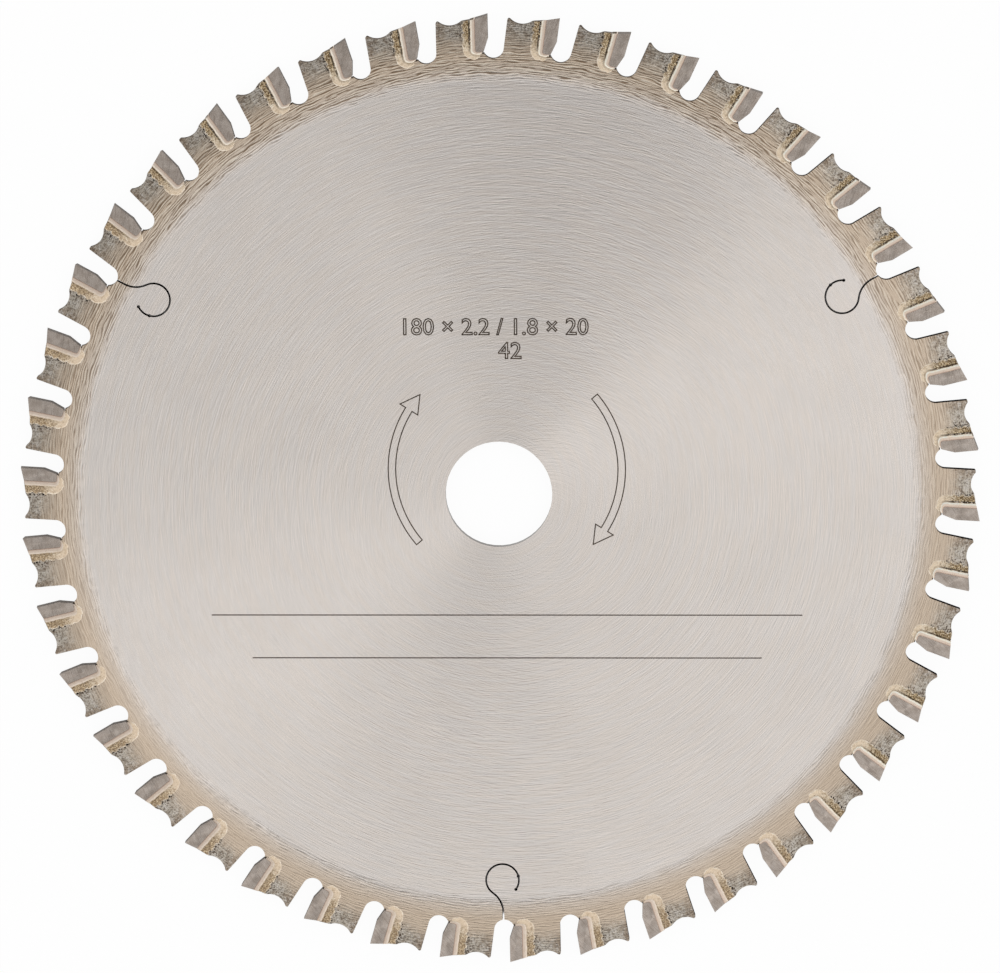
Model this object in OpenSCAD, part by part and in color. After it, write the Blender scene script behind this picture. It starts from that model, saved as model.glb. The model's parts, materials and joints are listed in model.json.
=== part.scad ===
// Circular saw blade with brazed carbide tips, lying flat.
// The bore axis is Z, the middle of the plate is z = 0 and tooth 1 points along +Y.
// Seen from +Z the blade cuts clockwise, and the teeth are numbered clockwise.

/* [Blade] */
// Diameter over the cutting edges
blade_d = 180; // [160:1:216]
// Diameter of the bore for the arbor
bore_d = 20; // [16:0.1:30]
// Thickness of the plate in its ground zone
plate_t = 1.8; // [1.4:0.1:2.8]
// Height of the unground rim above the ground zone, on each face
rim_step = 0.02; // [0.01:0.005:0.04]
// Width of the unground rim, inwards from the gullet floors
rim_w = 3.45; // [2:0.05:5]

/* [Teeth] */
// Number of teeth
teeth = 42; // [36:1:48]
// Depth of the gullet floors below the cutting circle
gullet_depth = 8.25; // [7.8:0.05:9]
// Radius of the gullet floors
gullet_r = 1.95; // [1.7:0.05:2.2]
// Distance from a cutting face to the middle of its gullet
gullet_lead = 0.95; // [0.8:0.05:1.2]
// Drop of the shoulder below the cutting circle, where the tip is seated
shoulder_drop = 0.85; // [0.7:0.05:1]
// Slope of the shoulder, in degrees
shoulder_slope = 10; // [6:0.5:14]
// Distance from a cutting face to the end of its shoulder
shoulder_end = 4.9; // [4.4:0.1:5.6]
// Radius of the rounded end of the shoulder
shoulder_r = 1.2; // [0.6:0.1:1.6]
// Depth of the hollow behind the shoulder, below the cutting circle
hollow_depth = 2.1; // [1.8:0.05:2.6]
// Drop of the heel below the cutting circle
heel_drop = 1.31; // [1.15:0.01:1.5]
// Radius of the rounded heel
heel_r = 0.3; // [0.2:0.05:0.6]

/* [Carbide tips] */
// Thickness of a tip, from its face to its back
tip_t = 2.35; // [2:0.05:2.8]
// Height of a tip, from its foot to the cutting circle
tip_h = 7; // [6.6:0.1:7.4]
// Height of the radial cutting face
face_h = 4.5; // [3.5:0.1:5.5]
// Set-back of the tip's foot behind its face
foot_setback = 0.85; // [0.5:0.05:1.1]
// Radius of the tip's rounded lower back corner
tip_corner_r = 0.45; // [0.25:0.05:0.7]
// Stand-out of a tip beyond the ground zone of the plate, on each face
tip_overhang = 0.2; // [0.18:0.01:0.5]
// Clearance angle of the tip's top, in degrees
top_relief = 15.5; // [12:0.5:18]
// Angle of the alternate top bevel, in degrees
top_bevel = 5; // [0:0.5:15]
// Clearance angle of the tip's sides towards its back, in degrees
back_relief = 1.2; // [0.5:0.1:2]
// Clearance angle of the tip's sides towards the bore, in degrees
radial_relief = 0.4; // [0.2:0.1:0.6]

/* [Braze] */
// Thickness of the braze between a tip and its seat
seam_t = 0.2; // [0.1:0.05:0.3]
// Width of the ground braze fillet behind a tip
fillet_w = 0.95; // [0.6:0.05:1.2]
// Width of the ground braze fillet under a tip's foot
foot_fillet_w = 1.25; // [0.6:0.05:1.4]
// Width of the rough braze run behind the fillet
run_w = 1.45; // [1:0.05:1.8]
// Height of the rough run above the rim
run_t = 0.03; // [0.02:0.005:0.05]
// Drop of the rough run's lower end below the tip's foot
run_drop = 1; // [0:0.05:1.2]
// Radius of the rough run's lower back corner
run_corner_r = 1.6; // [0.8:0.1:1.8]
// Length of the open pore between the tip's foot and the end of the seam
pore_l = 0.25; // [0.1:0.05:0.4]

/* [Expansion slots] */
// Number of slots
slots = 3; // [1:1:6]
// Width of the cut
slot_w = 0.35; // [0.25:0.05:0.55]
// Distance of the slot's stem ahead of the cutting face behind it
slot_lead = 1.1; // [0.8:0.05:1.3]
// Length of the straight stem, inwards from the gullet floor
stem_l = 1.55; // [1:0.05:2.5]
// Depth of the hook's centre below the gullet floor
hook_depth = 7.7; // [7:0.1:9]
// Radius of the hook, at the middle of the cut
hook_r = 3.1; // [2.5:0.1:3.5]
// Angle swept by the hook, in degrees
hook_sweep = 270; // [200:5:290]
// Diameter of the pierced dots on the hook
pierce_d = 0.6; // [0.6:0.05:0.9]
// Angle between the two pierced dots, in degrees
pierce_gap = 50; // [30:5:90]

/* [Hidden] */
$fn = 64;
disc_fn = 256;
pitch = 360 / teeth;
edge_r = blade_d / 2;
root_r = edge_r - gullet_depth;
ground_r = root_r - rim_w;
rim_t = plate_t + 2 * rim_step;
kerf = plate_t + 2 * tip_overhang;
over = gullet_depth;
top_v = edge_r + over;
// Overlap where an arc runs into a line or another arc, so that the two really cross
nip = rim_step / 5;

// In a tooth's own frame u runs forward from the cutting face and v outward from the bore axis.
gullet_c = [gullet_lead, root_r + gullet_r];
behind_c = [
    gullet_c.x * cos(pitch) - gullet_c.y * sin(pitch),
    gullet_c.x * sin(pitch) + gullet_c.y * cos(pitch)
];
trail_u = behind_c.x + gullet_r - nip;
web_r = root_r - gullet_r / 2;
base_v = web_r - gullet_r;
foot_v = edge_r - tip_h;
seam_front = -foot_setback - pore_l;
seat_u = -tip_t - seam_t;

function shoulder_v(u) = edge_r - shoulder_drop - (seat_u - u) * tan(shoulder_slope);
function foot_u(v) = -foot_setback * (edge_r - face_h - v) / (tip_h - face_h);
function polar(r, a) = [r * cos(a), r * sin(a)];

// The hollow starts at the shoulder's end, touches its floor line and runs smoothly into the heel.
heel_c = [trail_u + heel_r - nip, edge_r - heel_drop - heel_r];
touch_r = heel_r - nip;
shoulder_p = [-shoulder_end, shoulder_v(-shoulder_end)];
hollow_v = edge_r - hollow_depth;
shoulder_rise = shoulder_p.y - hollow_v;
heel_rise = heel_c.y + touch_r - hollow_v;
hollow_span = shoulder_p.x - heel_c.x;
hollow_term = hollow_span ^ 2 - heel_rise * (shoulder_rise - heel_rise + 2 * touch_r);
hollow_root = sqrt(hollow_span ^ 2 - (1 - heel_rise / shoulder_rise) * hollow_term);
hollow_reach = hollow_term / (hollow_span + hollow_root);
hollow_r = (hollow_reach ^ 2 + shoulder_rise ^ 2) / (2 * shoulder_rise);
hollow_c = [shoulder_p.x - hollow_reach, hollow_v + hollow_r];
heel_p = hollow_c + (heel_c - hollow_c) * hollow_r / (hollow_r + touch_r);

// The end of the shoulder is an arc that touches the shoulder's line and the hollow.
slope_d = [cos(shoulder_slope), sin(shoulder_slope)];
slope_n = [-slope_d.y, slope_d.x];
round_from = shoulder_p - shoulder_r * slope_n;
round_b = (round_from - hollow_c) * slope_d;
round_k = (round_from - hollow_c) * (round_from - hollow_c) - (hollow_r + shoulder_r) ^ 2;
round_c = round_from + (sqrt(round_b ^ 2 - round_k) - round_b) * slope_d;
hollow_d = (hollow_c - round_c) / (hollow_r + shoulder_r);

// The slot's bend is tangent to its stem and to its hook.
bend_v = root_r - stem_l;
hook_c = [slot_lead, root_r - hook_depth];
bend_rise = bend_v - hook_c.y;
bend_r = (bend_rise ^ 2 - hook_r ^ 2) / (2 * hook_r);
bend_c = [slot_lead + bend_r, bend_v];
bend_sweep = atan2(bend_rise, bend_r);

// Teeth alternate between a top that is high on the lower face and one that is high on the upper face.
function high_side(i) = i % 2 == 1 ? -1 : 1;
function tip_name(i) = str("tip_", i < 10 ? "0" : "", i);

module at_tooth(i) rotate(-(i - 1) * pitch) children();

// Region ahead of a back line and above a low line, with a rounded corner between them.
module corner_2d(back, low, r) {
    right = gullet_c.x + gullet_r / 2;
    translate([back + r - nip, low + r - nip]) circle(r);
    polygon([[back + r, low], [right, low], [right, top_v], [back, top_v], [back, low + r]]);
}

// Region ahead of and above a tip's back and foot, grown by a margin.
module seat_2d(margin) corner_2d(-tip_t - margin, foot_v - margin, tip_corner_r + margin);

module fillet_2d() {
    intersection() {
        corner_2d(-tip_t - fillet_w, foot_v - foot_fillet_w, tip_corner_r + fillet_w);
        translate([seam_front - 2 * over, foot_v - over]) square([2 * over, 3 * over]);
    }
}

// What the rounded end takes off the corner between the shoulder and the hollow.
module shoulder_round_2d() {
    reach = 1.5 * shoulder_r;
    difference() {
        polygon([
            round_c, round_c + reach * slope_n,
            shoulder_p + shoulder_r / 2 * (slope_n - slope_d), round_c + reach * hollow_d
        ]);
        translate(round_c) circle(shoulder_r + nip);
    }
}

module tooth_2d() {
    difference() {
        union() {
            polygon([
                [gullet_c.x, base_v], gullet_c, [0, shoulder_v(0)],
                [hollow_c.x, shoulder_v(hollow_c.x)], heel_p, heel_c,
                [trail_u, heel_c.y], [trail_u, behind_c.y], behind_c, [behind_c.x, base_v]
            ]);
            translate(heel_c) circle(heel_r);
        }
        translate(hollow_c) circle(hollow_r);
        shoulder_round_2d();
    }
}

module tip_2d() {
    intersection() {
        seat_2d(0);
        polygon([
            [0, top_v + over], [0, edge_r - face_h], [foot_u(foot_v - over), foot_v - over],
            [-tip_t - over, foot_v - over], [-tip_t - over, top_v + over]
        ]);
    }
}

module run_2d() {
    back = -tip_t - fillet_w - run_w;
    front = -tip_t - fillet_w / 2;
    low = foot_v - run_drop;
    difference() {
        intersection() {
            corner_2d(back, low, run_corner_r);
            polygon([
                [front, low - over], [front, shoulder_v(front)],
                [back - over, shoulder_v(back - over)], [back - over, low - over]
            ]);
        }
        shoulder_round_2d();
    }
}

// Cutters that follow the faces of the grinding wheels.
module top_grind(side) {
    translate([0, edge_r, side * kerf / 2])
        rotate(top_relief)
        rotate([-side * top_bevel, 0, 0])
        translate([-over, 0, -over])
        cube(2 * over);
}

module side_grind() {
    for (m = [0, 1])
        mirror([0, 0, m])
        translate([0, edge_r, kerf / 2])
        rotate([radial_relief, -back_relief, 0])
        translate([-2 * over, -2 * over, 0])
        cube(4 * over);
}

module arc_cut(r, sweep) {
    rotate_extrude(angle = sweep, $fn = disc_fn)
        translate([r - slot_w / 2, -over])
        square([slot_w, 2 * over]);
}

module expansion_slot() {
    hook_end = bend_sweep - hook_sweep;
    joints = [[slot_lead, bend_v], hook_c + polar(hook_r, bend_sweep)];
    translate([slot_lead - slot_w / 2, bend_v, -over])
        cube([slot_w, stem_l + gullet_r / 2, 2 * over]);
    translate(bend_c) rotate(180) arc_cut(bend_r, bend_sweep);
    translate(hook_c) rotate(hook_end) arc_cut(hook_r, hook_sweep);
    for (p = joints)
        translate(p) cylinder(d = slot_w + 2 * nip, h = 2 * over, center = true);
    for (a = [hook_end, hook_end + pierce_gap])
        translate(hook_c + polar(hook_r, a))
        cylinder(d = pierce_d, h = 2 * over, center = true);
}

module saw_plate() {
    color("#cdc8c0")
    difference() {
        union() {
            cylinder(r = web_r, h = rim_t, center = true, $fn = disc_fn);
            for (i = [1:teeth])
                at_tooth(i) linear_extrude(rim_t, center = true) tooth_2d();
        }
        for (i = [1:teeth])
            at_tooth(i) {
                translate(gullet_c) cylinder(r = gullet_r, h = over, center = true);
                linear_extrude(over, center = true) seat_2d(seam_t);
            }
        for (m = [0, 1])
            mirror([0, 0, m])
            translate([0, 0, plate_t / 2])
            cylinder(r = ground_r, h = over, $fn = disc_fn);
        for (s = [1:slots])
            at_tooth(1 + floor((s - 0.5) * teeth / slots)) expansion_slot();
        cylinder(d = bore_d, h = over, center = true, $fn = disc_fn);
    }
}

module carbide_tip(side) {
    color("#8d8580")
    difference() {
        linear_extrude(kerf, center = true) tip_2d();
        top_grind(side);
        side_grind();
    }
}

module braze_seam(side) {
    color("#cdb79d")
    difference() {
        union() {
            difference() {
                linear_extrude(kerf, center = true) fillet_2d();
                side_grind();
            }
            linear_extrude(rim_t + 2 * run_t, center = true) run_2d();
        }
        top_grind(side);
        linear_extrude(2 * over, center = true) seat_2d(0);
        linear_extrude(rim_t, center = true)
            difference() {
                translate([-2 * over, foot_v - over]) square([2 * over, 3 * over]);
                seat_2d(seam_t);
            }
    }
}

module braze_seams() {
    for (i = [1:teeth])
        at_tooth(i) braze_seam(high_side(i));
}

saw_plate();
for (i = [1:teeth])
    at_tooth(i) carbide_tip(high_side(i));
braze_seams();
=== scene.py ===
# Looks of a circular saw blade with brazed carbide tips, lying on a pale floor.
# Lengths are millimetres in the blade's own frame until a mesh is made; angles are degrees where named so.
import json
import math

import bmesh
import bpy
import numpy as np
from mathutils import Matrix, Vector

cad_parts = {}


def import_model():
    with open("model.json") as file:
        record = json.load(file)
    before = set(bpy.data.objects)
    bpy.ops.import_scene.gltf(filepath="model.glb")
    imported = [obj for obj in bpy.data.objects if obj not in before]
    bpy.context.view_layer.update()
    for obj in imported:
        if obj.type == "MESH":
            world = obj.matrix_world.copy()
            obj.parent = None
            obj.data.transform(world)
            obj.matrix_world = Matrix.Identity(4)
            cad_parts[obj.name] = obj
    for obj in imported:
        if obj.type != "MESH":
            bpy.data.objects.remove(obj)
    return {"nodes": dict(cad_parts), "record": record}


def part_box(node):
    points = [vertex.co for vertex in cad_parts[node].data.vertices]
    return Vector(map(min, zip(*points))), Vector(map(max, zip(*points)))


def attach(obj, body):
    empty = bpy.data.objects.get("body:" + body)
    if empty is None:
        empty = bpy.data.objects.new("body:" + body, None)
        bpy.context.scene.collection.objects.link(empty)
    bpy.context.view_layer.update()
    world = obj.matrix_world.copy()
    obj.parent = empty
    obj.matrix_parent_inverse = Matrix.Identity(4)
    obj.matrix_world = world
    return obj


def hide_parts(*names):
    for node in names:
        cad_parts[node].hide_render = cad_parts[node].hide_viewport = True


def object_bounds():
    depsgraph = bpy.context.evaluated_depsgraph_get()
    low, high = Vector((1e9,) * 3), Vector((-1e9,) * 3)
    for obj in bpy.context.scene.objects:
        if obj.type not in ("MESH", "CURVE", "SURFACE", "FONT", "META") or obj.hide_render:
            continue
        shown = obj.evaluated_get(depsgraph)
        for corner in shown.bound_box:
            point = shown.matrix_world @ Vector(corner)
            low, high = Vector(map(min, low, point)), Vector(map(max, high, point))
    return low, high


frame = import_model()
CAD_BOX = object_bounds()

MM = 0.001

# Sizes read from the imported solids
TIPS = sorted(name for name in frame["nodes"] if name.startswith("tip_"))
TEETH = len(TIPS)
PITCH = 2 * math.pi / TEETH
EDGE_R = CAD_BOX[1].y / MM
KERF_Z = CAD_BOX[1].z / MM
RIM_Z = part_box("saw_plate")[1].z / MM
MOUNTS = {mount["name"]: mount for mount in frame["record"]["mounts"]}
FACE_Z = MOUNTS["flange_seat_top"]["pos_m"][2] / MM
FIRST_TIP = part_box(TIPS[0])
TIP_T = -FIRST_TIP[0].x / MM
FOOT_V = FIRST_TIP[0].y / MM

# Tooth form, in a tooth's own frame: u runs forward from the cutting face, v outward from the bore axis
TIP_CORNER_R = 0.45
SEAM_T = 0.2
SEAM_FRONT = -1.1
SHOULDER_V = 89.15
SHOULDER_SLOPE = math.tan(math.radians(10))
SHOULDER_ROUND = (-4.380, 87.609, 1.2)
HOLLOW = (-7.071, 91.139, 3.239)
ROUND_FROM, ROUND_TO = -4.588, -5.107
TOP_RELIEF = math.radians(15.5)
TOP_BEVEL = math.radians(5)
BACK_RELIEF = math.tan(math.radians(1.2))
RADIAL_RELIEF = math.tan(math.radians(0.4))
TIP_EDGE = 0.05

# Braze beside and behind a tip; a run has a rounded lower back corner, given as its back, low and radius
FILLET_W = 0.95
FOOT_FILLET_W = 0.5
FILLET_SINK = 0.03
FRONT_TAPER = 0.55
FILLET_RIPPLE = 0.07
RUN_OUTLINE = (-4.75, 81.6, 2.0)
RUN_FRONT = -1.15
RUN_T = 0.03
RUN_STEP = 0.085
RUN_BEADS = 620
RUN_MARGIN = (0.6, 0.45)
RUN_ROUGH_V = (82.6, 85.4)
BEAD_R = (0.08, 0.15)
SEED = 42

# Fillet section: share of its width out from the tip, and share of its height above the rim
FILLET_SECTION = ((0.0, 1.0), (0.3, 1.0), (0.55, 0.98), (0.75, 0.9), (0.9, 0.62), (1.0, 0.0))

# Plate: its bore, the end of its ground face, and how far the tan rim and the mottled teeth fade in
BORE_R = 10.0
GROUND_R = 78.3
RIM_FADE = (77.4, 79.8)
TOOTH_FADE = (83.2, 86.8)
PORE = (-0.96, 82.78)

# Sides of the blade, as directions from the bore in degrees; painted shade lies towards the tooth shade side
# and the shaded side
WORN_SIDE = 98
TOOTH_SHADE_SIDE = 140
SHADED_SIDE = 45
SIDE_EDGE = (-0.35, 0.35)

# Camera: the solved view of the blade, which is turned a little in the picture
LENS = 216.18
SENSOR_W = 36.0
VIEW_TILT = math.radians(9.663)
VIEW_SIDE = math.radians(-1.939)
VIEW_TURN = math.radians(1.381)
VIEW_PLACE = Vector((-0.178, -1.323, -1124.947)) * MM


# Small helpers

def srgb(red, green, blue):
    """A colour as it looks on a screen, 0 to 255, as linear RGBA."""
    def linear(value):
        value /= 255
        return value / 12.92 if value <= 0.04045 else ((value + 0.055) / 1.055) ** 2.4
    return (linear(red), linear(green), linear(blue), 1.0)


def lerp(start, end, share):
    return start + (end - start) * share


def smooth(value, low, high):
    """Smooth step from 0 at low to 1 at high, for numbers and arrays."""
    share = np.clip((value - low) / (high - low), 0, 1)
    return share * share * (3 - 2 * share)


def waves(rng, count=4, slowest=0.6):
    """A smooth random function of one length, about -1 to 1."""
    pace = slowest * (1.7 ** np.arange(count))
    phase = rng.uniform(0, 2 * math.pi, count)
    size = 1 / (1 + np.arange(count))

    def value(t):
        t = np.asarray(t, float)[..., None]
        return (size * np.sin(2 * math.pi * pace * t + phase)).sum(-1) / size.sum()
    return value


def on_blade(u, v, tooth):
    """Point of a tooth's own frame in the blade's frame; tooth counts from 0."""
    angle = -tooth * PITCH
    return u * math.cos(angle) - v * math.sin(angle), u * math.sin(angle) + v * math.cos(angle)


def make_piece(name, points, faces, material, smooth_angle=None):
    """A mesh piece of the blade from millimetre points; it rides on the blade's one body."""
    mesh = bpy.data.meshes.new(name)
    mesh.from_pydata((np.asarray(points, float) * MM).tolist(), [], faces)
    form = bmesh.new()
    form.from_mesh(mesh)
    bmesh.ops.recalc_face_normals(form, faces=form.faces)
    form.to_mesh(mesh)
    form.free()
    if smooth_angle:
        mesh.shade_smooth()
        mesh.set_sharp_from_angle(angle=math.radians(smooth_angle))
    mesh.materials.append(material)
    piece = bpy.data.objects.new(name, mesh)
    bpy.context.scene.collection.objects.link(piece)
    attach(piece, "root")
    return piece


class Graph:
    """Writes a node tree as short expressions. A value is a number, a colour or a socket."""

    def __init__(self, tree):
        self.tree = tree
        tree.nodes.clear()

    def plug(self, socket, value):
        if isinstance(value, bpy.types.NodeSocket):
            self.tree.links.new(value, socket)
        else:
            socket.default_value = value

    def add(self, kind, inputs=None, **settings):
        node = self.tree.nodes.new(kind)
        for name, value in settings.items():
            setattr(node, name, value)
        for name, value in (inputs or {}).items():
            self.plug(node.inputs[name], value)
        return node

    def calc(self, operation, *values):
        node = self.add("ShaderNodeMath", operation=operation)
        for socket, value in zip(node.inputs, values):
            self.plug(socket, value)
        return node.outputs[0]

    def ease(self, value, low, high, start=0.0, end=1.0):
        """Smooth step of a socket, from start at low to end at high."""
        inputs = {"Value": value, "From Min": low, "From Max": high, "To Min": start, "To Max": end}
        return self.add("ShaderNodeMapRange", inputs, interpolation_type="SMOOTHSTEP").outputs[0]

    def mix(self, share, first, second, blend="MIX"):
        node = self.add("ShaderNodeMix", data_type="RGBA", blend_type=blend)
        self.plug(node.inputs[0], share)
        self.plug(node.inputs[6], first)
        self.plug(node.inputs[7], second)
        return node.outputs[2]

    def vector(self, x, y, z):
        return self.add("ShaderNodeCombineXYZ", {"X": x, "Y": y, "Z": z}).outputs[0]

    def noise(self, vector, scale=1.0, detail=2.0, roughness=0.5):
        inputs = {"Vector": vector, "Scale": scale, "Detail": detail, "Roughness": roughness}
        return self.add("ShaderNodeTexNoise", inputs).outputs[0]

    def bump(self, height, distance, strength=1.0):
        inputs = {"Height": height, "Distance": distance, "Strength": strength}
        return self.add("ShaderNodeBump", inputs).outputs[0]

    def shade(self, color, factor):
        """A colour multiplied by a grey factor."""
        return self.mix(1.0, color, self.vector(factor, factor, factor), "MULTIPLY")


class BladeSpace:
    """Millimetre coordinates on the blade for its materials, and its streak and grain patterns."""

    def __init__(self, graph):
        self.graph = graph
        place = graph.add("ShaderNodeTexCoord").outputs["Object"]
        scaled = graph.add("ShaderNodeVectorMath", {0: place, "Scale": 1 / MM}, operation="SCALE")
        self.place = scaled.outputs[0]
        axes = graph.add("ShaderNodeSeparateXYZ", {0: self.place}).outputs
        self.x, self.y, self.z = axes[0], axes[1], axes[2]
        self.r = self.centre_distance(0.0, 0.0)
        steps = graph.calc("DIVIDE", graph.calc("ARCTAN2", self.x, self.y), PITCH)
        behind = graph.calc("MULTIPLY", graph.calc("SUBTRACT", graph.calc("CEIL", steps), steps), PITCH)
        self.u = graph.calc("MULTIPLY", graph.calc("SINE", behind), graph.calc("MULTIPLY", self.r, -1.0))
        self.v = graph.calc("MULTIPLY", graph.calc("COSINE", behind), self.r)

    def centre_distance(self, x, y):
        calc = self.graph.calc
        dx, dy = calc("SUBTRACT", self.x, x), calc("SUBTRACT", self.y, y)
        return calc("SQRT", calc("ADD", calc("MULTIPLY", dx, dx), calc("MULTIPLY", dy, dy)))

    def ring(self, centre):
        return self.r if centre == (0.0, 0.0) else self.centre_distance(*centre)

    def towards(self, degrees):
        """1 on the side of the blade in this direction from the bore, -1 on the far side."""
        calc, angle = self.graph.calc, math.radians(degrees)
        along_x = calc("MULTIPLY", self.x, math.cos(angle))
        along_y = calc("MULTIPLY", self.y, math.sin(angle))
        return calc("DIVIDE", calc("ADD", along_x, along_y), self.r)

    def streaks(self, across, along, centre=(0.0, 0.0), detail=1.0):
        """Noise in arcs about a centre, with grains of these sizes across and along the arcs."""
        parts = ((self.ring(centre), across), (self.x, along), (self.y, along))
        vector = self.graph.vector(*(self.graph.calc("DIVIDE", length, size) for length, size in parts))
        return self.graph.noise(vector, 1.0, detail)

    def lines(self, spacing, along, centre=(0.0, 0.0)):
        """Thin wavering lines about this far apart, in arcs about a centre; they fade in and out."""
        calc = self.graph.calc
        drift = calc("MULTIPLY", self.streaks(2.0 * spacing, along, centre), 2.2)
        turns = calc("ADD", calc("DIVIDE", self.ring(centre), spacing), drift)
        wave = calc("SINE", calc("MULTIPLY", turns, 2 * math.pi))
        strength = self.graph.ease(self.streaks(1.1 * spacing, 0.7 * along, centre), 0.36, 0.6, 0.02, 0.16)
        return calc("ADD", calc("MULTIPLY", wave, strength), 0.5)

    def grain(self, size, detail=2.0, roughness=0.5):
        return self.graph.noise(self.place, 1 / size, detail, roughness)


def new_material(name):
    material = bpy.data.materials.new(name)
    material.use_nodes = True
    return material, Graph(material.node_tree)


def finish_metal(graph, color, metallic, roughness, normal, anisotropic=0.0, specular=0.5):
    """Ends a metal's node tree; a constant stays on the shader's own socket."""
    inputs = {"Base Color": color, "Metallic": metallic, "Roughness": roughness, "Normal": normal}
    shader = graph.add("ShaderNodeBsdfPrincipled", inputs)
    shader.inputs["Specular IOR Level"].default_value = specular
    if anisotropic:
        shader.inputs["Anisotropic"].default_value = anisotropic
        shader.inputs["Anisotropic Rotation"].default_value = 0.25
        tangent = graph.add("ShaderNodeTangent", direction_type="RADIAL", axis="Z")
        graph.plug(shader.inputs["Tangent"], tangent.outputs[0])
    graph.add("ShaderNodeOutputMaterial", {"Surface": shader.outputs[0]})


# Materials

def face_normal(g):
    """The three numbers of a flat face's own normal."""
    normal = g.add("ShaderNodeNewGeometry").outputs["True Normal"]
    return g.add("ShaderNodeSeparateXYZ", {0: normal}).outputs


def flatness(g):
    """1 on faces that look up or down, 0 on walls."""
    return g.ease(g.calc("ABSOLUTE", face_normal(g)[2]), 0.5, 0.8)


def outwardness(g, at):
    """1 on walls that look away from the bore, 0 on walls along a radius."""
    normal = face_normal(g)
    along = g.calc("ADD", g.calc("MULTIPLY", normal[0], at.x), g.calc("MULTIPLY", normal[1], at.y))
    return g.ease(g.calc("DIVIDE", along, at.r), 0.1, 0.6)


def vector_attribute(g, name):
    """The three numbers of a mesh's own vector attribute."""
    value = g.add("ShaderNodeAttribute", attribute_name=name).outputs["Vector"]
    return g.add("ShaderNodeSeparateXYZ", {0: value}).outputs


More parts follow.
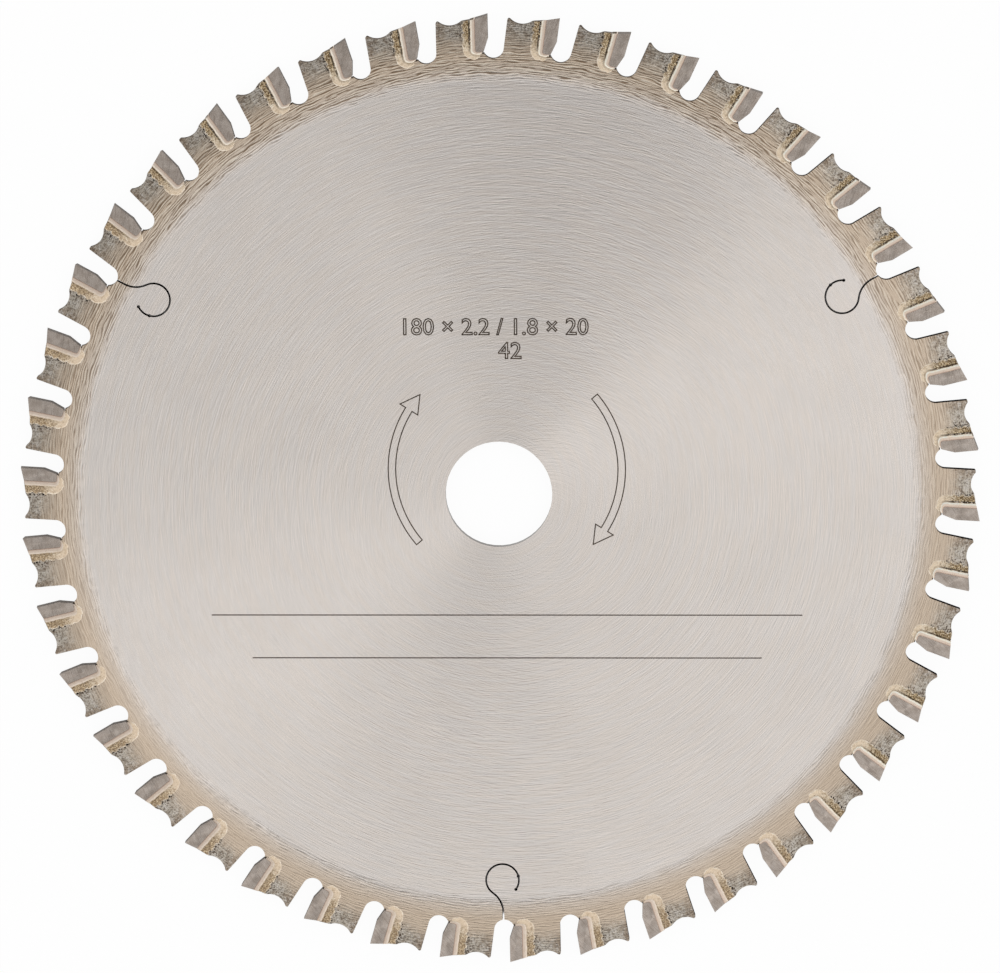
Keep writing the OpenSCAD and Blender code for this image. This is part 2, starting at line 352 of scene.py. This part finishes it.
def plate_steel():
    """Ground steel with circular brush lines, a tan heat-tinted rim, mottled teeth with painted shade towards
    the upper left, and edge walls painted near-black as shade in the gullets and greyer where they look
    outwards."""
    material, g = new_material("plate_steel")
    at = BladeSpace(g)
    fine = at.streaks(0.2, 5.0)
    coarse = at.streaks(0.5, 12.0, detail=2.0)
    crossing = at.streaks(0.22, 4.0, centre=(9.0, -5.0))
    cloud = at.grain(14.0)

    brush = g.calc("ADD", g.ease(fine, 0.3, 0.7, -0.006, 0.006), g.ease(coarse, 0.25, 0.75, -0.005, 0.005))
    brush = g.calc("ADD", brush, g.ease(crossing, 0.3, 0.7, -0.005, 0.005))
    brush = g.calc("ADD", brush, g.ease(cloud, 0.3, 0.7, 0.985, 1.015))
    warm = g.ease(at.streaks(1.1, 7.0), 0.35, 0.65)
    steel = g.mix(warm, (0.806, 0.75, 0.708, 1.0), (0.814, 0.747, 0.692, 1.0))
    ground = g.shade(steel, brush)

    rim_streak = at.lines(0.5, 4.6)
    rim_cross = at.lines(0.44, 3.4, centre=(12.0, 5.0))
    worn = g.ease(at.towards(WORN_SIDE), -0.5, 1.0, 0.14, 0.85)
    tint = g.ease(at.r, GROUND_R, 82.5)
    rim = g.mix(tint, srgb(226, 213, 200), srgb(217, 198, 177))
    rim = g.mix(g.calc("MULTIPLY", worn, g.ease(rim_streak, 0.51, 0.61)), rim, srgb(122, 98, 74))
    rim = g.mix(g.calc("MULTIPLY", worn, g.ease(rim_cross, 0.52, 0.64, 0.0, 0.7)), rim, srgb(130, 107, 86))
    rim = g.mix(g.calc("MULTIPLY", worn, g.ease(rim_streak, 0.48, 0.37, 0.0, 0.85)), rim, srgb(244, 232, 214))

    heel = g.ease(at.u, -9.6, -7.2)
    tooth = g.mix(heel, srgb(168, 152, 135), srgb(193, 184, 171))
    patch = at.grain(1.1, 3.0, 0.6)
    speck = at.grain(0.34, 2.0, 0.6)
    flake = at.grain(0.5, 2.0, 0.6)
    sooty = g.ease(at.u, -6.6, -4.9, 0.6, 1.0)
    tooth = g.mix(g.ease(patch, 0.5, 0.64, 0.0, 0.7), tooth, srgb(214, 207, 198))
    tooth = g.mix(g.ease(patch, 0.48, 0.34, 0.0, 0.6), tooth, srgb(134, 117, 100))
    tooth = g.mix(g.calc("MULTIPLY", g.ease(speck, 0.5, 0.6), sooty), tooth, srgb(92, 77, 65))
    tooth = g.mix(g.ease(flake, 0.56, 0.68, 0.0, 0.6), tooth, srgb(216, 210, 202))
    tooth = g.mix(g.ease(rim_streak, 0.52, 0.68, 0.0, 0.18), tooth, srgb(104, 90, 78))

    wander = g.calc("SUBTRACT", at.grain(3.0), 0.5)
    ragged = g.calc("ADD", g.calc("MULTIPLY", wander, 2.0), g.ease(rim_streak, 0.25, 0.75, -0.6, 0.6))
    tooth_share = g.ease(g.calc("ADD", at.v, ragged), *TOOTH_FADE)
    rim_share = g.ease(g.calc("ADD", at.r, g.calc("MULTIPLY", ragged, 0.7)), *RIM_FADE)
    rim = g.shade(rim, g.ease(g.calc("ABSOLUTE", at.towards(0)), 0.3, 0.9, 1.02, 0.965))
    # Painted shade: the teeth, and the rim next to them, darker towards the upper left
    toward_tooth_shade = at.towards(TOOTH_SHADE_SIDE)
    rim_shade = g.calc("MULTIPLY", g.ease(at.v, 81.8, 83.6), g.ease(toward_tooth_shade, -0.3, 0.75))
    rim = g.shade(rim, g.ease(rim_shade, 0, 1, 1.0, 0.83))
    tooth = g.shade(tooth, g.ease(toward_tooth_shade, -0.3, 0.75, 1.05, 0.85))
    color = g.mix(rim_share, ground, g.mix(tooth_share, rim, tooth))

    pore_u, pore_v = g.calc("SUBTRACT", at.u, PORE[0]), g.calc("SUBTRACT", at.v, PORE[1])
    pore_far = g.calc("ADD", g.calc("MULTIPLY", pore_u, pore_u), g.calc("MULTIPLY", pore_v, pore_v))
    color = g.mix(g.ease(pore_far, 0.012, 0.06, 0.9, 0.0), color, srgb(34, 27, 22))

    flat = flatness(g)
    crumbs = g.ease(at.grain(0.4), 0.35, 0.65)
    # Painted shade: walls that do not look outwards, in the gullets and slots, are near-black; walls that
    # look outwards keep the greyer scale of the steel's edge
    shaded_wall = g.mix(crumbs, srgb(12, 10, 9), srgb(28, 24, 21))
    scale = g.mix(crumbs, srgb(92, 83, 75), srgb(126, 116, 106))
    wall = g.mix(outwardness(g, at), shaded_wall, scale)
    turned_bore = g.ease(at.r, BORE_R + 0.5, BORE_R + 0.2)
    wall = g.mix(turned_bore, wall, srgb(108, 102, 96))
    color = g.mix(flat, wall, color)
    metal = g.calc("MAXIMUM", flat, turned_bore)

    polish = g.ease(fine, 0.25, 0.75, 0.19, 0.23)
    roughness = g.calc("ADD", polish, g.calc("MULTIPLY", rim_share, 0.06))
    roughness = g.calc("ADD", roughness, g.ease(metal, 0, 1, 0.5, 0.0))
    relief = g.calc("ADD", fine, g.calc("MULTIPLY", crossing, 0.9))
    relief = g.calc("MULTIPLY", relief, g.ease(at.r, 12.0, 45.0, 0.6, 1.0))
    rim_relief = g.calc("ADD", g.calc("MULTIPLY", rim_streak, 3.4), g.calc("MULTIPLY", rim_cross, 2.2))
    relief = g.calc("ADD", relief, g.calc("MULTIPLY", rim_relief, rim_share))
    relief = g.calc("ADD", relief, g.calc("MULTIPLY", g.calc("MULTIPLY", speck, 2.0), tooth_share))
    finish_metal(g, color, metal, roughness, g.bump(relief, 0.021 * MM), 0.95, 0.0)
    return material


def carbide():
    """Fine ground sintered carbide, dull pinkish grey with faint cloudy patches, darker on its walls; painted
    light makes it lighter towards the right.
    """
    material, g = new_material("carbide")
    at = BladeSpace(g)
    cloud = at.grain(1.3, 3.0, 0.6)
    lines = at.streaks(0.16, 2.4, centre=(140.0, 30.0))
    dust = at.grain(0.2)
    color = g.mix(g.ease(cloud, 0.32, 0.68), srgb(171, 159, 149), srgb(189, 178, 169))
    color = g.mix(g.ease(lines, 0.5, 0.72, 0.0, 0.5), color, srgb(140, 126, 116))
    color = g.mix(g.ease(dust, 0.58, 0.72, 0.0, 0.5), color, srgb(212, 202, 192))
    flat = flatness(g)
    # Painted light: lighter towards the right, darker towards the left
    color = g.shade(color, g.ease(at.x, -EDGE_R, EDGE_R, 0.91, 1.12))
    color = g.mix(g.ease(flat, 0, 1, 0.7, 0.0), color, srgb(104, 98, 93))
    roughness = g.calc("ADD", g.ease(dust, 0.3, 0.7, 0.24, 0.32), g.ease(flat, 0, 1, 0.3, 0.0))
    relief = g.calc("ADD", lines, dust)
    finish_metal(g, color, g.ease(flat, 0, 1, 0.4, 1.0), roughness, g.bump(relief, 0.006 * MM), 0.9)
    return material


def braze_filler():
    """Pale ground filler metal: pinkish beside the tip, with a painted highlight near its outer edge and fine
    pores; painted light makes it lighter towards the right.
    """
    material, g = new_material("braze_filler")
    at = BladeSpace(g)
    share = vector_attribute(g, "seam")[0]
    cloud = at.grain(0.9, 3.0, 0.6)
    pores = at.grain(0.2, 1.0)
    color = g.mix(g.ease(share, 0.05, 0.26), srgb(186, 160, 144), srgb(223, 205, 189))
    # Painted highlight near the fillet's outer edge, stronger towards the shaded side
    shaded = g.ease(at.towards(SHADED_SIDE), *SIDE_EDGE)
    glint = g.calc("MULTIPLY", g.ease(share, 0.48, 0.68), g.ease(shaded, 0, 1, 0.3, 1.0))
    color = g.mix(glint, color, srgb(255, 245, 230))
    color = g.mix(g.ease(share, 0.84, 1.0), color, srgb(140, 114, 86))
    color = g.mix(g.ease(cloud, 0.45, 0.7, 0.0, 0.45), color, srgb(212, 192, 168))
    color = g.mix(g.ease(pores, 0.66, 0.76, 0.0, 0.6), color, srgb(120, 96, 72))
    # Painted light: lighter towards the right, darker towards the left
    color = g.shade(color, g.ease(at.x, -EDGE_R, EDGE_R, 0.93, 1.18))
    finish_metal(g, color, 0.8, g.ease(cloud, 0.3, 0.7, 0.36, 0.5), g.bump(pores, 0.006 * MM))
    return material


def braze_run():
    """Rough tarnished filler behind the fillet: olive and granular, paler in painted light on the lit side
    and darker, with stronger grit, in painted shade towards the shaded side; a painted highlight on its rim,
    patches of soot and a painted shadow in the dip beside the fillet."""
    material, g = new_material("braze_run")
    at = BladeSpace(g)
    # The crust's tones: bead height, the rim's painted highlight, and soot together with the painted shadow
    # beside the fillet
    bead, edge, soot = vector_attribute(g, "crust")
    stain = at.grain(0.6, 3.0, 0.6)
    grit = at.grain(0.24, 2.0, 0.65)
    clean = g.ease(g.calc("ADD", at.v, g.ease(stain, 0.3, 0.7, -0.8, 0.8)), 86.4, 82.5)
    shaded = g.ease(at.towards(SHADED_SIDE), *SIDE_EDGE)
    # The grit is the crust's own grain, made stronger towards the shaded side as painted shade
    dirt_and_shade = g.calc("MULTIPLY", g.ease(clean, 0, 1, 1.0, 0.3), g.ease(shaded, 0, 1, 0.62, 1.0))
    flank = g.mix(clean, srgb(202, 178, 140), srgb(255, 244, 224))
    crevice = g.mix(clean, srgb(126, 102, 70), srgb(242, 221, 194))
    color = g.mix(g.ease(bead, 0.1, 0.7), crevice, flank)
    # Painted light: paler towards the lit side
    color = g.mix(g.ease(shaded, 0, 1, 0.3, 0.0), color, srgb(205, 182, 158))
    color = g.mix(g.calc("MULTIPLY", dirt_and_shade, g.ease(grit, 0.52, 0.62, 0.0, 0.85)), color, srgb(80, 62, 42))
    color = g.mix(g.calc("MULTIPLY", dirt_and_shade, g.ease(grit, 0.46, 0.36, 0.0, 0.8)), color, srgb(248, 234, 208))
    color = g.mix(g.ease(stain, 0.54, 0.68, 0.0, 0.3), color, srgb(156, 131, 98))
    # Painted highlight along the run's raised rim
    color = g.mix(g.calc("MULTIPLY", edge, g.ease(stain, 0.36, 0.54, 0.9, 0.3)), color, srgb(255, 244, 228))
    # Painted shade: darker towards the shaded side, lighter on the lit side
    color = g.shade(color, g.ease(shaded, 0, 1, 1.05, 0.94))
    # Soot, and the painted shadow in the dip beside the fillet
    color = g.mix(soot, color, srgb(20, 14, 10))
    finish_metal(g, color, 0.5, g.ease(stain, 0.3, 0.7, 0.4, 0.6), g.bump(at.grain(0.1), 0.01 * MM), 0.0, 0.1)
    return material


def laser_mark():
    """Brown annealed laser line, a little uneven."""
    material, g = new_material("laser_mark")
    at = BladeSpace(g)
    color = g.mix(g.ease(at.grain(0.5), 0.35, 0.65), srgb(58, 48, 39), srgb(86, 73, 61))
    roughness = g.ease(at.grain(0.25), 0.3, 0.7, 0.5, 0.65)
    finish_metal(g, color, 0.35, roughness, g.bump(at.grain(0.1), 0.003 * MM))
    return material


# Braze

def top_v(u, z, high):
    """Height of the alternately bevelled top of a tooth; high is 1 where the upper face is the higher."""
    slant = high * math.tan(TOP_BEVEL) / math.cos(TOP_RELIEF)
    return EDGE_R + u * math.tan(TOP_RELIEF) + slant * (z - high * KERF_Z)


def side_z(u, v):
    """Ground side of the tips, above the middle of the plate."""
    return KERF_Z + BACK_RELIEF * u + RADIAL_RELIEF * (v - EDGE_R)


def plate_top(u):
    """Outline of a tooth behind its tip: the shoulder's line, its rounded end and the hollow."""
    line = SHOULDER_V + (u + TIP_T + SEAM_T) * SHOULDER_SLOPE
    round_u, round_v, round_r = SHOULDER_ROUND
    hollow_u, hollow_v, hollow_r = HOLLOW
    round_end = round_v + np.sqrt(np.clip(round_r ** 2 - (u - round_u) ** 2, 0, None))
    hollow = hollow_v - np.sqrt(np.clip(hollow_r ** 2 - (u - hollow_u) ** 2, 0, None))
    return np.where(u > ROUND_FROM, line, np.where(u > ROUND_TO, round_end, hollow))


def fillet_width(turn):
    """Width of a fillet; turn goes from 0 at the tip's back to 1 at its foot."""
    return lerp(FILLET_W, FOOT_FILLET_W, smooth(turn, 0.1, 0.9))


def seam_stations():
    """Places along the seam: down the tip's back, round its corner and along its foot."""
    back = [("back", share) for share in np.linspace(0, 1, 25)]
    corner = [("corner", share) for share in np.linspace(0, 1, 8)[1:]]
    foot = [("foot", share) for share in np.linspace(0, 1, 9)[1:]]
    return back + corner + foot


def seam_point(station, out, z, high):
    """Point of the seam at a distance out from the tip."""
    stretch, share = station
    if stretch == "back":
        u = -TIP_T - out
        return u, lerp(top_v(u, z, high), FOOT_V + TIP_CORNER_R, share)
    if stretch == "corner":
        angle = math.pi * (1 + share / 2)
        reach = TIP_CORNER_R + out
        corner_u, corner_v = -TIP_T + TIP_CORNER_R, FOOT_V + TIP_CORNER_R
        return corner_u + reach * math.cos(angle), corner_v + reach * math.sin(angle)
    return lerp(-TIP_T + TIP_CORNER_R, SEAM_FRONT, share), FOOT_V - out


def set_vectors(piece, name, values):
    """Writes a vector attribute on the points of a piece for its material."""
    layer = piece.data.attributes.new(name, "FLOAT_VECTOR", "POINT")
    layer.data.foreach_set("vector", np.asarray(values, np.float32).ravel())


def braze_fillets(material):
    """One closed seam with a fillet on both faces for each tip, each a little different."""
    points, faces, seam = [], [], []
    stations = seam_stations()
    inner_z = RIM_Z - FILLET_SINK
    for tooth in range(TEETH):
        rng = np.random.default_rng(SEED + tooth)
        high = 1 if tooth % 2 else -1
        ripple = {1: waves(rng, 5, 0.9), -1: waves(rng, 5, 0.9)}
        start = len(points)
        for number, station in enumerate(stations):
            progress = number / (len(stations) - 1)
            wide = float(fillet_width({"back": 0.0, "corner": station[1], "foot": 1.0}[station[0]]))
            taper = 1 - FRONT_TAPER * float(smooth(progress, 0.86, 1.0))
            ring, shares = [], []
            for face in (1, -1):
                width = wide * taper * (1 + FILLET_RIPPLE * float(ripple[face](progress * 4)))
                half = []
                for share, lift in FILLET_SECTION:
                    u, v = seam_point(station, share * width, face * KERF_Z, high)
                    z = lerp(RIM_Z, side_z(u, v), lift * (1 - 0.5 * (1 - taper) / FRONT_TAPER))
                    half.append((u, v, face * z, share))
                for out in (width, SEAM_T):
                    u, v = seam_point(station, out, face * KERF_Z, high)
                    half.append((u, v, face * inner_z, 1.0))
                ring += half if face == 1 else half[::-1]
            points += [(*on_blade(u, v, tooth), z) for u, v, z, _ in ring]
            seam += [(share, progress, 0.0) for _, _, _, share in ring]
        size = len(ring)
        for row in range(len(stations) - 1):
            base = start + row * size
            for corner in range(size):
                after = (corner + 1) % size
                faces.append((base + corner, base + after, base + size + after, base + size + corner))
        faces.append(tuple(range(start, start + size)))
        faces.append(tuple(range(len(points) - size, len(points))))
    piece = make_piece("braze_fillets", points, faces, material, smooth_angle=40)
    set_vectors(piece, "seam", seam)
    return piece


def corner_distance(u, v, outline, back_shift=0.0, low_shift=0.0):
    """Distance inside an outline with a rounded lower back corner, below 0 outside, and the turn round it."""
    back, low, radius = outline
    past_back = np.clip(radius - (u - back - back_shift), 0, None)
    past_low = np.clip(radius - (v - low - low_shift), 0, None)
    return radius - np.hypot(past_back, past_low), np.arctan2(past_low, past_back) * 2 / math.pi


def bead_field(u, v, rng):
    """Height of a crust of round beads of filler, as the tallest bead at each point."""
    centre_u = rng.uniform(u.min(), u.max(), RUN_BEADS)
    centre_v = rng.uniform(v.min(), v.max(), RUN_BEADS)
    radius = rng.uniform(*BEAD_R, RUN_BEADS)
    far = (u[..., None] - centre_u) ** 2 + (v[..., None] - centre_v) ** 2
    return (np.sqrt(np.clip(1 - far / radius ** 2, 0, None)) * radius).max(-1)


def braze_runs(name, face, material):
    """Rough crust round each fillet on one face of the blade; its rim dips below the plate's surface."""
    back, low = RUN_OUTLINE[0] - RUN_MARGIN[0], RUN_OUTLINE[1] - RUN_MARGIN[1]
    columns = 1 + round((RUN_FRONT - back) / RUN_STEP)
    rows = 1 + round((SHOULDER_V - low) / RUN_STEP)
    across, down = np.meshgrid(np.linspace(0, 1, columns), np.linspace(0, 1, rows))
    u = lerp(RUN_FRONT, back, across)
    v = lerp(plate_top(u) - 0.02, low, down)
    off_tip, turn = corner_distance(u, v, (-TIP_T, FOOT_V, TIP_CORNER_R))
    off_fillet = -off_tip - fillet_width(turn)
    top_fade = smooth(down * rows, 0, 1.5)
    front_fade = smooth(u, RUN_FRONT, RUN_FRONT - 0.6)
    upper = smooth(v, *RUN_ROUGH_V)
    cell = np.arange(rows * columns).reshape(rows, columns)
    quads = np.stack([cell[:-1, :-1], cell[:-1, 1:], cell[1:, 1:], cell[1:, :-1]], -1).reshape(-1, 4)
    points, faces, crust, count = [], [], [], 0
    for tooth in range(TEETH):
        rng = np.random.default_rng(SEED * 100 + tooth * 2 + (face > 0))
        edge, foot, patches, gap = waves(rng), waves(rng), waves(rng, 5, 0.5), waves(rng, 4, 0.3)
        shadowed_groove_depth, soot_depth = rng.uniform(0.75, 1.0), rng.uniform(0.75, 1.0)
        # Teeth whose fillets face away from the light get a darker painted shadow and a deeper dip beside the
        # fillet
        in_shade = math.cos(math.radians(90 - SHADED_SIDE) - tooth * PITCH)
        shadowed_groove_depth *= lerp(0.2, 1.0, float(smooth(in_shade, *SIDE_EDGE)))
        back_shift = 0.28 * edge(v) * upper
        low_shift = 0.12 * foot(u) + 0.6 * smooth(u, -2.2, RUN_FRONT)
        inside, _ = corner_distance(u, v, RUN_OUTLINE, back_shift, low_shift)
        beads = bead_field(u, v, rng) * lerp(0.35, 1.0, upper)
        cover = smooth(inside, -0.02, 0.22) * smooth(off_fillet, -0.3, -0.1) * top_fade * front_fade
        # A dip beside the fillet; its near-black tone in the finish is a painted shadow
        shadowed_groove = smooth(off_fillet, -0.1, 0.0) * smooth(off_fillet, 0.34, 0.2)
        shadowed_groove = shadowed_groove * shadowed_groove_depth * lerp(0.3, 1.0, upper) * smooth(gap(v), -0.9, -0.45)
        soot = smooth(inside, -0.46, -0.28) * smooth(inside, 0.16, 0.02) * smooth(v, 83.6, 85.0)
        soot = soot * soot_depth * smooth(patches(v), -0.55, -0.1) * top_fade
        soot = smooth(soot * (0.35 + bead_field(u, v, rng) / BEAD_R[1]), 0.42, 0.62)
        # A slightly raised rim; its bright tone in the finish is a painted highlight
        rim = smooth(inside, 0.0, 0.07) * smooth(inside, 0.3, 0.14) * smooth(off_fillet, 0.1, 0.3)
        lift = cover * (FILLET_SINK + RUN_T + 0.4 * beads) * (1 - 0.6 * shadowed_groove) + 0.02 * rim * cover
        height = np.maximum(lift, soot * (FILLET_SINK + 0.006)) - FILLET_SINK
        shown = ((cover > 0) | (soot > 0)).ravel()
        kept = quads[shown[quads].any(-1)]
        used = np.unique(kept)
        place = np.zeros(rows * columns, int)
        place[used] = count + np.arange(len(used))
        x, y = on_blade(u, v, tooth)
        points.append(np.stack([x, y, face * (RIM_Z + height)], -1).reshape(-1, 3)[used])
        # Tones for the finish: bead height, the rim with its painted highlight, and soot together with the
        # painted shadow beside the fillet
        tones = np.stack([np.clip(beads / 0.13, 0, 1), rim, np.maximum(soot, shadowed_groove)], -1)
        crust.append(tones.reshape(-1, 3)[used])
        faces += place[kept].tolist()
        count += len(used)
    piece = make_piece(name, np.concatenate(points), faces, material, smooth_angle=80)
    set_vectors(piece, "crust", np.concatenate(crust))
    return piece


# Marks

ARROW_LINE_W = 0.22
FIGURE_LINE_W = 0.24
RULE_LINE_W = 0.22
MARK_LIFT = 0.006
MARK_TURN = math.radians(0.35) - VIEW_TURN
ARROW_CENTRE = (1.5, 4.7)
ARROW_R = 21.5
ARROW_BAND = 1.4
ARROW_TAIL = math.radians(220.0)
ARROW_NECK = math.radians(148.0)
ARROW_POINT = math.radians(138.6)
ARROW_BARB = 1.95
FIGURES = (("180 \u00d7 2.2 / 1.8 \u00d7 20", (-0.75, 30.2)), ("42", (2.25, 25.7)))
FIGURE_H = 3.0
FONT_FIGURE_H = 0.682
RULES = ((-23.0, 55.5), (-31.2, 47.9))
RULE_X = 1.3


def arrow_outline():
    """Outline of a curved arrow that points clockwise, about the arrows' own centre."""
    arc = np.linspace(ARROW_TAIL, ARROW_NECK, 40)
    outer = [(ARROW_R + ARROW_BAND / 2, a) for a in arc]
    inner = [(ARROW_R - ARROW_BAND / 2, a) for a in arc[::-1]]
    head = [(ARROW_R + ARROW_BARB, ARROW_NECK), (ARROW_R, ARROW_POINT), (ARROW_R - ARROW_BARB, ARROW_NECK)]
    return [(r * math.cos(a), r * math.sin(a)) for r, a in outer + head + inner]


def ribbon(line, width, closed, points, faces):
    """Adds a thin line of a width with mitred corners to points and faces."""
    path = np.asarray(line, float)
    before, after = np.roll(path, 1, 0), np.roll(path, -1, 0)
    if not closed:
        before[0], after[-1] = 2 * path[0] - path[1], 2 * path[-1] - path[-2]
    into = (path - before) / np.linalg.norm(path - before, axis=1)[:, None]
    away = (after - path) / np.linalg.norm(after - path, axis=1)[:, None]
    mitre = into + away
    mitre /= np.maximum(np.linalg.norm(mitre, axis=1)[:, None], 0.2)
    side = np.stack([-mitre[:, 1], mitre[:, 0]], -1)
    reach = width / 2 / np.maximum((mitre * into).sum(1), 0.35)
    left, right = path + side * reach[:, None], path - side * reach[:, None]
    start, count = len(points), len(path)
    for one, other in zip(left, right):
        for (x, y), z in ((one, MARK_LIFT), (other, MARK_LIFT), (other, -MARK_LIFT), (one, -MARK_LIFT)):
            points.append((x, y, FACE_Z + z))
    for step in range(count if closed else count - 1):
        base, ahead = start + 4 * step, start + 4 * ((step + 1) % count)
        for corner in range(4):
            after_corner = (corner + 1) % 4
            faces.append((base + corner, base + after_corner, ahead + after_corner, ahead + corner))
    if not closed:
        last = start + 4 * (count - 1)
        faces.append((start, start + 1, start + 2, start + 3))
        faces.append((last, last + 1, last + 2, last + 3))


def figure_outlines(body):
    """Closed outlines of plain figures in the built-in font, centred on x with their feet on y = 0."""
    curve = bpy.data.curves.new("figures", "FONT")
    curve.body = body
    curve.fill_mode = "NONE"
    curve.align_x = "CENTER"
    curve.resolution_u = 3
    holder = bpy.data.objects.new("figures", curve)
    mesh = holder.to_mesh()
    places = [FIGURE_H / FONT_FIGURE_H * vertex.co.xy for vertex in mesh.vertices]
    joined = {}
    for edge in mesh.edges:
        for one, other in (edge.vertices, reversed(edge.vertices)):
            joined.setdefault(one, []).append(other)
    bpy.data.objects.remove(holder)
    bpy.data.curves.remove(curve)
    outlines = []
    while joined:
        chain = [min(joined)]
        while chain:
            onward = [other for other in joined.pop(chain[-1]) if other in joined]
            if not onward:
                break
            chain.append(onward[0])
        outlines.append([tuple(places[number]) for number in chain])
    return outlines


def turning(angle):
    return np.array([[math.cos(angle), math.sin(angle)], [-math.sin(angle), math.cos(angle)]])


def turned(line, centre=(0.0, 0.0), turn=0.0):
    """A line turned about the origin, moved to a centre, and then turned with all the marks."""
    return (np.asarray(line, float) @ turning(turn) + centre) @ turning(MARK_TURN)


def laser_marks(material):
    """Two outlined arrows that show the turning direction, the sizes in plain figures and two rules."""
    points, faces = [], []
    for turn in (0, math.pi):
        ribbon(turned(arrow_outline(), ARROW_CENTRE, turn), ARROW_LINE_W, True, points, faces)
    for body, centre in FIGURES:
        for outline in figure_outlines(body):
            ribbon(turned(outline, centre), FIGURE_LINE_W, True, points, faces)
    for y, half in RULES:
        ribbon(turned([(RULE_X - half, y), (RULE_X + half, y)]), RULE_LINE_W, False, points, faces)
    return make_piece("laser_marks", points, faces, material)


# Stage

FLOOR_HALF = 3.0
FLOOR_WHITE = 0.95
PLATE_SHADE_R = (80.6, 81.4)


def floor():
    """A pale floor that reads as white behind the blade, takes its shadow and is dark beneath its plate."""
    material, g = new_material("floor_paper")
    far = BladeSpace(g).r
    clear = g.calc("MAXIMUM", g.ease(far, *PLATE_SHADE_R), g.ease(far, BORE_R + 0.7, BORE_R + 0.2))
    paper = g.add("ShaderNodeBsdfDiffuse", {"Color": (0.97, 0.97, 0.97, 1)}).outputs[0]
    white = g.add("ShaderNodeEmission", {"Color": (1, 1, 1, 1), "Strength": 1.0}).outputs[0]
    path = g.add("ShaderNodeLightPath").outputs
    seen = g.calc("MAXIMUM", path["Is Camera Ray"], path["Is Glossy Ray"])
    seen = g.calc("MAXIMUM", seen, path["Is Transmission Ray"])
    seen = g.calc("MULTIPLY", seen, g.calc("MULTIPLY", clear, FLOOR_WHITE))
    mixed = g.add("ShaderNodeMixShader", {0: seen, 1: paper, 2: white})
    g.add("ShaderNodeOutputMaterial", {"Surface": mixed.outputs[0]})
    half, z = FLOOR_HALF, CAD_BOX[0].z
    corners = [(-half, -half, z), (half, -half, z), (half, half, z), (-half, half, z)]
    mesh = bpy.data.meshes.new("floor")
    mesh.from_pydata(corners, [], [(0, 1, 2, 3)])
    mesh.materials.append(material)
    plane = bpy.data.objects.new("floor", mesh)
    bpy.context.scene.collection.objects.link(plane)


def view_matrix():
    """Place of the camera, from where it sees the blade."""
    turn = Matrix.Rotation(VIEW_TILT, 4, "X") @ Matrix.Rotation(VIEW_SIDE, 4, "Y")
    turn = turn @ Matrix.Rotation(VIEW_TURN, 4, "Z")
    return (Matrix.Translation(VIEW_PLACE) @ turn).inverted()


def camera():
    data = bpy.data.cameras.new("camera")
    data.sensor_width = SENSOR_W
    data.lens = LENS
    eye = bpy.data.objects.new("camera", data)
    eye.matrix_world = view_matrix()
    bpy.context.scene.collection.objects.link(eye)
    bpy.context.scene.camera = eye


# The white tent is dimmer on one side, and dark where a camera looks in
TENT_LIGHT = 1.0
DIM_LIGHT = 0.5
DIM_TOWARDS = Vector((-0.274, 0.314, 0.909)).normalized()
DIM_EDGE = (math.radians(26), math.radians(38))
OPENING_EDGE = (math.radians(7), math.radians(12))


def world():
    """A white tent of soft light; straight views of it are white."""
    scene = bpy.context.scene
    scene.world = bpy.data.worlds.new("tent")
    scene.world.use_nodes = True
    g = Graph(scene.world.node_tree)
    ray = g.add("ShaderNodeTexCoord").outputs["Generated"]

    def angle_from(direction):
        along = g.add("ShaderNodeVectorMath", {0: ray, 1: direction}, operation="DOT_PRODUCT")
        return g.calc("ARCCOSINE", along.outputs["Value"])

    opening = g.ease(angle_from(view_matrix().to_translation().normalized()), *OPENING_EDGE)
    light = g.calc("MULTIPLY", opening, g.ease(angle_from(DIM_TOWARDS), *DIM_EDGE, DIM_LIGHT, TENT_LIGHT))
    strength = g.calc("MAXIMUM", light, g.add("ShaderNodeLightPath").outputs["Is Camera Ray"])
    back = g.add("ShaderNodeBackground", {"Color": (1, 1, 1, 1), "Strength": strength})
    g.add("ShaderNodeOutputWorld", {"Surface": back.outputs[0]})


def dress(node, material):
    """Gives a solid's own object a finish."""
    solid = frame["nodes"][node]
    solid.data.materials.clear()
    solid.data.materials.append(material)
    return solid


def soften(solid, width):
    """Breaks the sharp edges of a ground solid with modifiers; its own mesh stays as it is."""
    weld = solid.modifiers.new("weld", "WELD")
    weld.merge_threshold = 0.001 * MM
    whole = solid.modifiers.new("whole_faces", "DECIMATE")
    whole.decimate_type = "DISSOLVE"
    whole.angle_limit = math.radians(1)
    edge = solid.modifiers.new("edge", "BEVEL")
    edge.width = width
    edge.segments = 2
    edge.limit_method = "ANGLE"
    edge.angle_limit = math.radians(25)
    solid.modifiers.new("normals", "WEIGHTED_NORMAL")


def main():
    bpy.context.scene.view_settings.view_transform = "Standard"
    camera()
    world()
    floor()
    dress("saw_plate", plate_steel())
    tip_finish = carbide()
    for name in TIPS:
        soften(dress(name, tip_finish), TIP_EDGE * MM)
    fillets = braze_fillets(braze_filler())
    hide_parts("braze_seams")
    run_finish = braze_run()
    braze_runs("braze_runs_upper", 1, run_finish)
    braze_runs("braze_runs_lower", -1, run_finish)
    laser_marks(laser_mark())


main()
